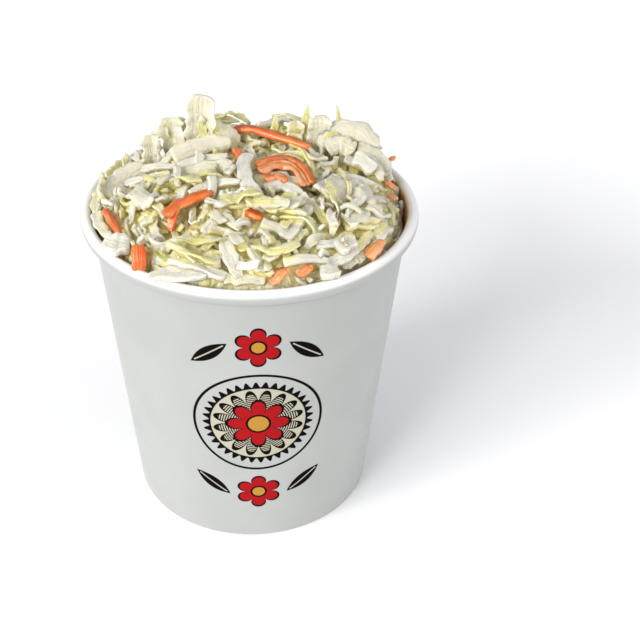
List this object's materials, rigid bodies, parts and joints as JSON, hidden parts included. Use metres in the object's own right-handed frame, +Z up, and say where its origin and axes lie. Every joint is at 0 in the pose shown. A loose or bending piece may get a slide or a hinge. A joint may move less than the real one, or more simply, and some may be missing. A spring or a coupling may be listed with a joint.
{
  "type": "coleslaw in a paper cup",
  "caption": "Creamy coleslaw of shredded cabbage and carrot, heaped over the rolled lip of a round tapered paper food cup.",
  "frame": {"origin": "centre of the cup's foot, on the surface that it stands on", "axes": "+Z up along the cup's axis, -Y towards the cup's front, +X to the right seen from the front"},
  "size_m": [0.098, 0.098, 0.1202],
  "materials": {
    "paperboard": "satin",
    "coleslaw": "moist",
    "carrot": "moist"
  },
  "bodies": {
    "root": {"cup_wall": "paperboard", "cup_base": "paperboard", "coleslaw": "coleslaw"}
  },
  "joints": []
}
